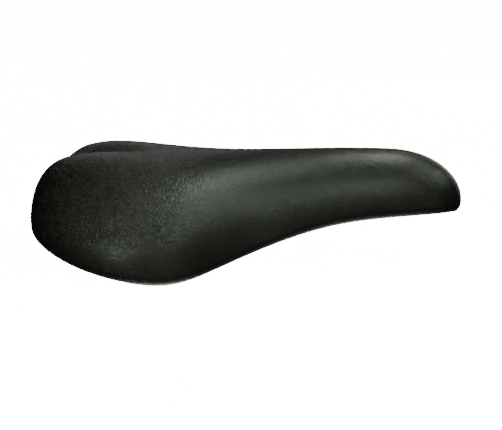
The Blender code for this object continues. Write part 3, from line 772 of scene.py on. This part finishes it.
def make_base(material):
    """The moulded base: hollowed, ribbed, grooved for the rail and bored for the screws."""
    form = Form(120, 22)
    skin = SKIN + GAP
    wall = skin + FOAM_SIDE + GAP
    flange_top = skin + FLANGE
    rows = form.upper(wall, FOAM_REAR, FOAM_NOSE, BASE_HOLLOW)
    rows.append(form.row(wall, flange_top))
    rows += form.lower(skin, (form.share_down(skin, flange_top), 0.8, 0.9, 0.97, 1.0))
    climb = LEDGE_SLOPE * (form.ledge_inset - TUCK)
    rows.append(form.ledge(form.ledge_inset + 0.001, skin))
    rows.append(form.centre_row(form.point[:, 2] + skin + climb))
    base = piece("base_moulding", loft_both_sides(rows))
    cavity = base_cavity(form)
    inside = bmesh.new()
    inside.from_mesh(cavity.data)
    bpy.data.objects.remove(cavity)
    cut(base, [inside])
    cut(base, [rail_groove()])
    screws = {name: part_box(f"screw_{name}") for name in SCREWS}
    cut(base, [screw_hole(name, low.z, high.z + GAP) for name, (low, high) in screws.items()])
    round_edges(base, 0.0007, 4)
    finish_piece(base, "base_shell", material)


def make_rail(material):
    """The one-piece rail, with its sawn ends chamfered."""
    path = rail_path(14)
    for end, step in ((0, 1), (-1, -1)):
        inwards = (path[end + step] - path[end]).normalized() * RAIL_CHAMFER
        path.insert(1 if end == 0 else len(path) - 1, path[end] + inwards)
    radii = [RAIL_R] * len(path)
    radii[0] = radii[-1] = RAIL_R - RAIL_CHAMFER
    rail = piece("rail_bar", tube(path, radii, 40), 40)
    finish_piece(rail, "rail", material)


def make_clamps(material):
    """The nylon blocks that hold the rail, each with a groove, screw holes and a shallow pocket."""
    for name, screws in CLAMPS.items():
        low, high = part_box(name)
        nose = name == "nose_clamp"
        block = piece(f"{name}_block", box(low, high, 0.0060 if nose else 0.0040))
        cut(block, [rail_groove()])
        cut(block, [screw_hole(screw, low.z - 0.002, high.z + 0.002) for screw in screws])
        middle = (low + high) / 2
        if nose:
            pocket = [box((high.x - 0.0125, middle.y - 0.0050, low.z - 0.001),
                          (high.x - 0.0045, middle.y + 0.0050, low.z + 0.0012), 0.0015)]
        else:
            pocket = [box((middle.x - 0.0070, middle.y - 0.0018, low.z - 0.001),
                          (middle.x + 0.0070, middle.y + 0.0018, low.z + 0.0009), 0.0015)]
        cut(block, pocket)
        round_edges(block, 0.00035, 4)
        finish_piece(block, name, material)


def thread(radius, height, turn):
    """The radius of the screw's shank at a place round it: ridges that climb one pitch a turn."""
    if radius > SCREW_R or height < HEAD_H + 0.0008:
        return radius
    phase = (height / SCREW_PITCH - turn) % 1.0
    ridge = max(0.0, 1.0 - abs(2 * phase - 1) / 0.55)
    return radius * (0.72 + 0.28 * ridge)


def make_screws(material):
    """Pan-head screws with a cross recess, driven upwards; the washers under their heads come from
    make_washers.
    """
    low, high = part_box(f"screw_{SCREWS[0]}")
    length = high.z - low.z
    curve = [(HEAD_R * math.cos(a) ** 0.55, HEAD_H * 0.7 * (1 - math.sin(a)))
             for a in np.linspace(math.pi / 2, 0, 14)[1:]]
    profile = [(0, 0), (HEAD_R * 0.2, 0)] + curve + [(HEAD_R, HEAD_H), (SCREW_R, HEAD_H)]
    tip = length - SCREW_TIP
    profile += [(SCREW_R, z) for z in np.arange(HEAD_H + 0.0002, tip, 0.00012)]
    profile += [(SCREW_R * (1 - k / 12), tip + SCREW_TIP * k / 12) for k in range(12)] + [(0, length)]
    screw = piece("screw", turned(profile, 40, thread), 40)
    for arm in ((RECESS_LONG, RECESS_SHORT), (RECESS_SHORT, RECESS_LONG)):
        recess = box((-arm[0], -arm[1], -0.001), (arm[0], arm[1], RECESS_DEPTH))
        for v in recess.verts:
            if v.co.z > 0:
                v.co.x *= 0.6
                v.co.y *= 0.6
        cut(screw, [recess])
    screw.data.shade_smooth()
    screw.data.set_sharp_from_angle(angle=math.radians(35))
    mesh = screw.data
    bpy.data.objects.remove(screw)
    draw = random.Random(11)
    for name in SCREWS:
        low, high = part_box(f"screw_{name}")
        made = bpy.data.objects.new(f"pan_screw_{name}", mesh)
        made.location = ((low.x + high.x) / 2, (low.y + high.y) / 2, low.z)
        made.rotation_euler.z = draw.uniform(0, math.pi / 2)
        bpy.context.scene.collection.objects.link(made)
        finish_piece(made, f"screw_{name}", material)


def make_washers(material):
    """Flat washers with their edges broken."""
    edge = 0.00015
    for name in SCREWS:
        low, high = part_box(f"washer_{name}")
        hole = SCREW_R + GAP
        thick = high.z - low.z
        section = [(hole, edge), (hole + edge, 0), (WASHER_R - edge, 0), (WASHER_R, edge),
                   (WASHER_R, thick - edge), (WASHER_R - edge, thick), (hole + edge, thick),
                   (hole, thick - edge)]
        washer = piece(f"washer_disc_{name}", ring(section, 56), 30)
        washer.location = ((low.x + high.x) / 2, (low.y + high.y) / 2, low.z)
        finish_piece(washer, f"washer_{name}", material)


def staple_mesh():
    """A wire staple: its crown along X, its legs up Z. The crown's outer face is at z = 0."""
    half, bend, thick = STAPLE_LENGTH / 2, 0.0008, STAPLE_THICKNESS
    outline = [(-half, STAPLE_LEG), (-half, bend)]
    outline += [(-half + bend - bend * math.cos(a), bend - bend * math.sin(a))
                for a in np.linspace(0, math.pi / 2, 7)[1:]]
    outline += [(-x, z) for x, z in outline[::-1]]
    bm = bmesh.new()
    rings = []
    w, corner = STAPLE_WIDTH / 2, 0.00018
    section = [(0, w - corner), (corner, w), (thick - corner, w), (thick, w - corner),
               (thick, corner - w), (thick - corner, -w), (corner, -w), (0, corner - w)]
    for k, (x, z) in enumerate(outline):
        before, after = outline[max(k - 1, 0)], outline[min(k + 1, len(outline) - 1)]
        ahead = Vector((after[0] - before[0], 0, after[1] - before[1])).normalized()
        inwards = Vector((-ahead.z, 0, ahead.x))
        rings.append([bm.verts.new(Vector((x, y, z)) + inwards * depth) for depth, y in section])
    for a, b in zip(rings, rings[1:]):
        for m in range(len(section)):
            n = (m + 1) % len(section)
            bm.faces.new((a[m], b[m], b[n], a[n]))
    bm.faces.new(rings[0])
    bm.faces.new(rings[-1])
    shape = piece("staple", bm, 50)
    mesh = shape.data
    bpy.data.objects.remove(shape)
    return mesh


def place_staple(name, mesh, centre, along, inwards, up, material):
    """One staple with its crown's outer face at a place on the hem."""
    staple = bpy.data.objects.new(f"wire_{name}", mesh)
    staple.matrix_world = Matrix((along, inwards, up)).transposed().to_4x4()
    staple.location = centre
    bpy.context.scene.collection.objects.link(staple)
    finish_piece(staple, name, material)


def make_staples(material):
    """Staples round the hem, each driven a little askew, with its crown pressed into the vinyl."""
    mesh = staple_mesh()
    line = fine_outline()
    run = np.concatenate([[0], np.cumsum(np.linalg.norm(np.diff(line[:, :2], axis=0), axis=1))])
    draw = random.Random(5)
    mirror = Vector((1, -1, 1))
    for number in range(STAPLE_SPACES + 1):
        at = run[-1] * number / STAPLE_SPACES
        spot, before, after = [Vector([np.interp(at + d, run, line[:, k]) for k in range(3)])
                               for d in (0, -0.003, 0.003)]
        on_centre = number in (0, STAPLE_SPACES)
        along = Vector((0, 1 if number == 0 else -1, 0)) if on_centre else (after - before).normalized()
        flat = Vector((along.y, -along.x, 0)).normalized()
        ledge = LEDGE_REAR + (LEDGE_NOSE - LEDGE_REAR) * float(share_to_nose(spot.x))
        middle = (ledge - TUCK) / 2
        inwards = (flat + Vector((0, 0, LEDGE_SLOPE))).normalized()
        up = along.cross(inwards).normalized()
        up = up if up.z > 0 else -up
        centre = spot + flat * (TUCK + middle) + Vector((0, 0, LEDGE_SLOPE * middle)) - up * STAPLE_PROUD
        if on_centre:
            place_staple("staple_nose" if number else "staple_rear", mesh, centre,
                         inwards.cross(up), inwards, up, material)
            continue
        for side, flip in (("left", Vector((1, 1, 1))), ("right", mirror)):
            skew = Matrix.Rotation(draw.uniform(-STAPLE_TURN, STAPLE_TURN), 3, up * flip)
            slide = (inwards * flip) * draw.uniform(-STAPLE_SLIDE, STAPLE_SLIDE)
            turned_in = skew @ (inwards * flip)
            upright = up * flip
            place_staple(f"staple_{side}_{number:02d}", mesh, centre * flip + slide,
                         turned_in.cross(upright), turned_in, upright, material)


# ---- camera, lights and floor -------------------------------------------------------------------

CAMERA_AIM = Vector((0.0205, 0.0, 0.001))
CAMERA_AZIMUTH, CAMERA_ELEVATION = 4.5, 14.5
CAMERA_DISTANCE = 0.484
CAMERA_LENS = 54.0
PALE = 16.0                         # brightness of the floor and the backdrop
AMBIENT = 0.010                     # faint light from all round
FLOOR_HALF = 30.0
FLOOR_BELOW = 0.0004                # how far the floor lies under the saddle
SENSOR_WIDTH = 36.0
WING_AIM = Vector((-0.030, -0.060, 0.015))
REAR_AIM = Vector((-0.080, -0.060, 0.005))


def make_camera():
    """The camera: from the rider's right, a little above, with the nose to the right."""
    azimuth, elevation = math.radians(CAMERA_AZIMUTH), math.radians(CAMERA_ELEVATION)
    back = Vector((math.sin(azimuth) * math.cos(elevation), -math.cos(azimuth) * math.cos(elevation),
                   math.sin(elevation)))
    camera = bpy.data.objects.new("camera", bpy.data.cameras.new("camera"))
    camera.data.lens = CAMERA_LENS
    camera.data.sensor_width = SENSOR_WIDTH
    camera.data.clip_start = 0.01
    camera.location = CAMERA_AIM + back * CAMERA_DISTANCE
    camera.rotation_euler = back.to_track_quat("Z", "Y").to_euler()
    bpy.context.scene.collection.objects.link(camera)
    bpy.context.scene.camera = camera


# name, aim, azimuth, elevation, distance, diameter, watts. Azimuth 0 is the camera's side, 90 the
# nose's and 180 behind.
LIGHTS = [
    ("key_softbox", CAMERA_AIM, 60, 40, 1.5, 0.60, 3.0),
    ("nose_softbox", CAMERA_AIM, 90, 45, 1.5, 0.60, 4.5),
    ("front_low_fill", CAMERA_AIM, 40, -10, 1.5, 0.60, 0.8),
    ("rear_back_fill", CAMERA_AIM, 200, 25, 1.5, 0.60, 1.2),
    ("backdrop_glow", CAMERA_AIM, 150, 5, 1.5, 0.90, 4.0),
    ("under_softbox", CAMERA_AIM, 180, -75, 1.2, 0.80, 10.0),
    ("wing_panel", WING_AIM, 45, 25, 0.25, 0.06, 0.16),
    ("wing_top_panel", WING_AIM, 120, 50, 0.30, 0.08, 0.30),
    ("wing_side_panel", WING_AIM, 345, 15, 0.25, 0.06, 0.32),
    ("rear_panel", REAR_AIM, 90, 55, 0.20, 0.05, 0.08),
]


def make_light(name, aim, azimuth, elevation, distance, size, watts):
    """A round softbox that faces a point on the saddle."""
    a, e = math.radians(azimuth), math.radians(elevation)
    way = Vector((math.sin(a) * math.cos(e), -math.cos(a) * math.cos(e), math.sin(e)))
    lamp = bpy.data.lights.new(name, "AREA")
    lamp.shape = "DISK"
    lamp.size = size
    lamp.energy = watts
    obj = bpy.data.objects.new(name, lamp)
    obj.location = aim + way * distance
    obj.rotation_euler = way.to_track_quat("Z", "Y").to_euler()
    obj.visible_camera = False
    bpy.context.scene.collection.objects.link(obj)


def make_floor():
    """A pale, evenly lit floor under the lowest point of the saddle, seen from above only."""
    bm = bmesh.new()
    bmesh.ops.create_grid(bm, x_segments=1, y_segments=1, size=FLOOR_HALF)
    mesh = bpy.data.meshes.new("floor")
    bm.to_mesh(mesh)
    bm.free()
    floor = bpy.data.objects.new("floor", mesh)
    bpy.context.scene.collection.objects.link(floor)
    floor.location.z = cad_box[0].z - FLOOR_BELOW
    floor.visible_diffuse = False
    floor.visible_glossy = False
    floor.visible_transmission = False
    floor.visible_shadow = False
    n = Nodes("floor")
    n.set(base_color=n.mix(n.noise(40, 4), (0.80, 0.80, 0.80), (0.84, 0.84, 0.84)), roughness=0.9)
    n.set(emission_color=(1.0, 1.0, 1.0), emission_strength=PALE)
    clear = n.tree.nodes.new("ShaderNodeBsdfTransparent")
    either = n.tree.nodes.new("ShaderNodeMixShader")
    n.link(n.tree.nodes.new("ShaderNodeNewGeometry").outputs["Backfacing"], either.inputs["Fac"])
    n.link(n.shader.outputs["BSDF"], either.inputs[1])
    n.link(clear.outputs["BSDF"], either.inputs[2])
    n.link(either.outputs["Shader"], n.tree.nodes["Material Output"].inputs["Surface"])
    floor.data.materials.append(n.material)


def make_world():
    """A faint even light from all round, behind a pale backdrop."""
    world = bpy.data.worlds.new("world")
    world.use_nodes = True
    nodes, links = world.node_tree.nodes, world.node_tree.links
    nodes["Background"].inputs["Color"].default_value = (1.0, 1.0, 1.0, 1.0)
    seen = nodes.new("ShaderNodeLightPath").outputs["Is Camera Ray"]
    strength = nodes.new("ShaderNodeMapRange")
    strength.inputs["To Min"].default_value = AMBIENT
    strength.inputs["To Max"].default_value = PALE
    links.new(seen, strength.inputs["Value"])
    links.new(strength.outputs["Result"], nodes["Background"].inputs["Strength"])
    bpy.context.scene.world = world


make_camera()
make_world()
make_floor()
for light in LIGHTS:
    make_light(*light)
make_cover(vinyl())
make_foam(foam_material())
make_base(moulded_plastic("base", (0.030, 0.030, 0.032), (0.046, 0.046, 0.048), 0.50, 1500))
make_rail(rail_coating())
make_clamps(moulded_plastic("nylon", (0.060, 0.061, 0.064), (0.085, 0.086, 0.090), 0.42, 2200))
metal = zinc()
make_screws(metal)
make_washers(metal)
make_staples(metal)
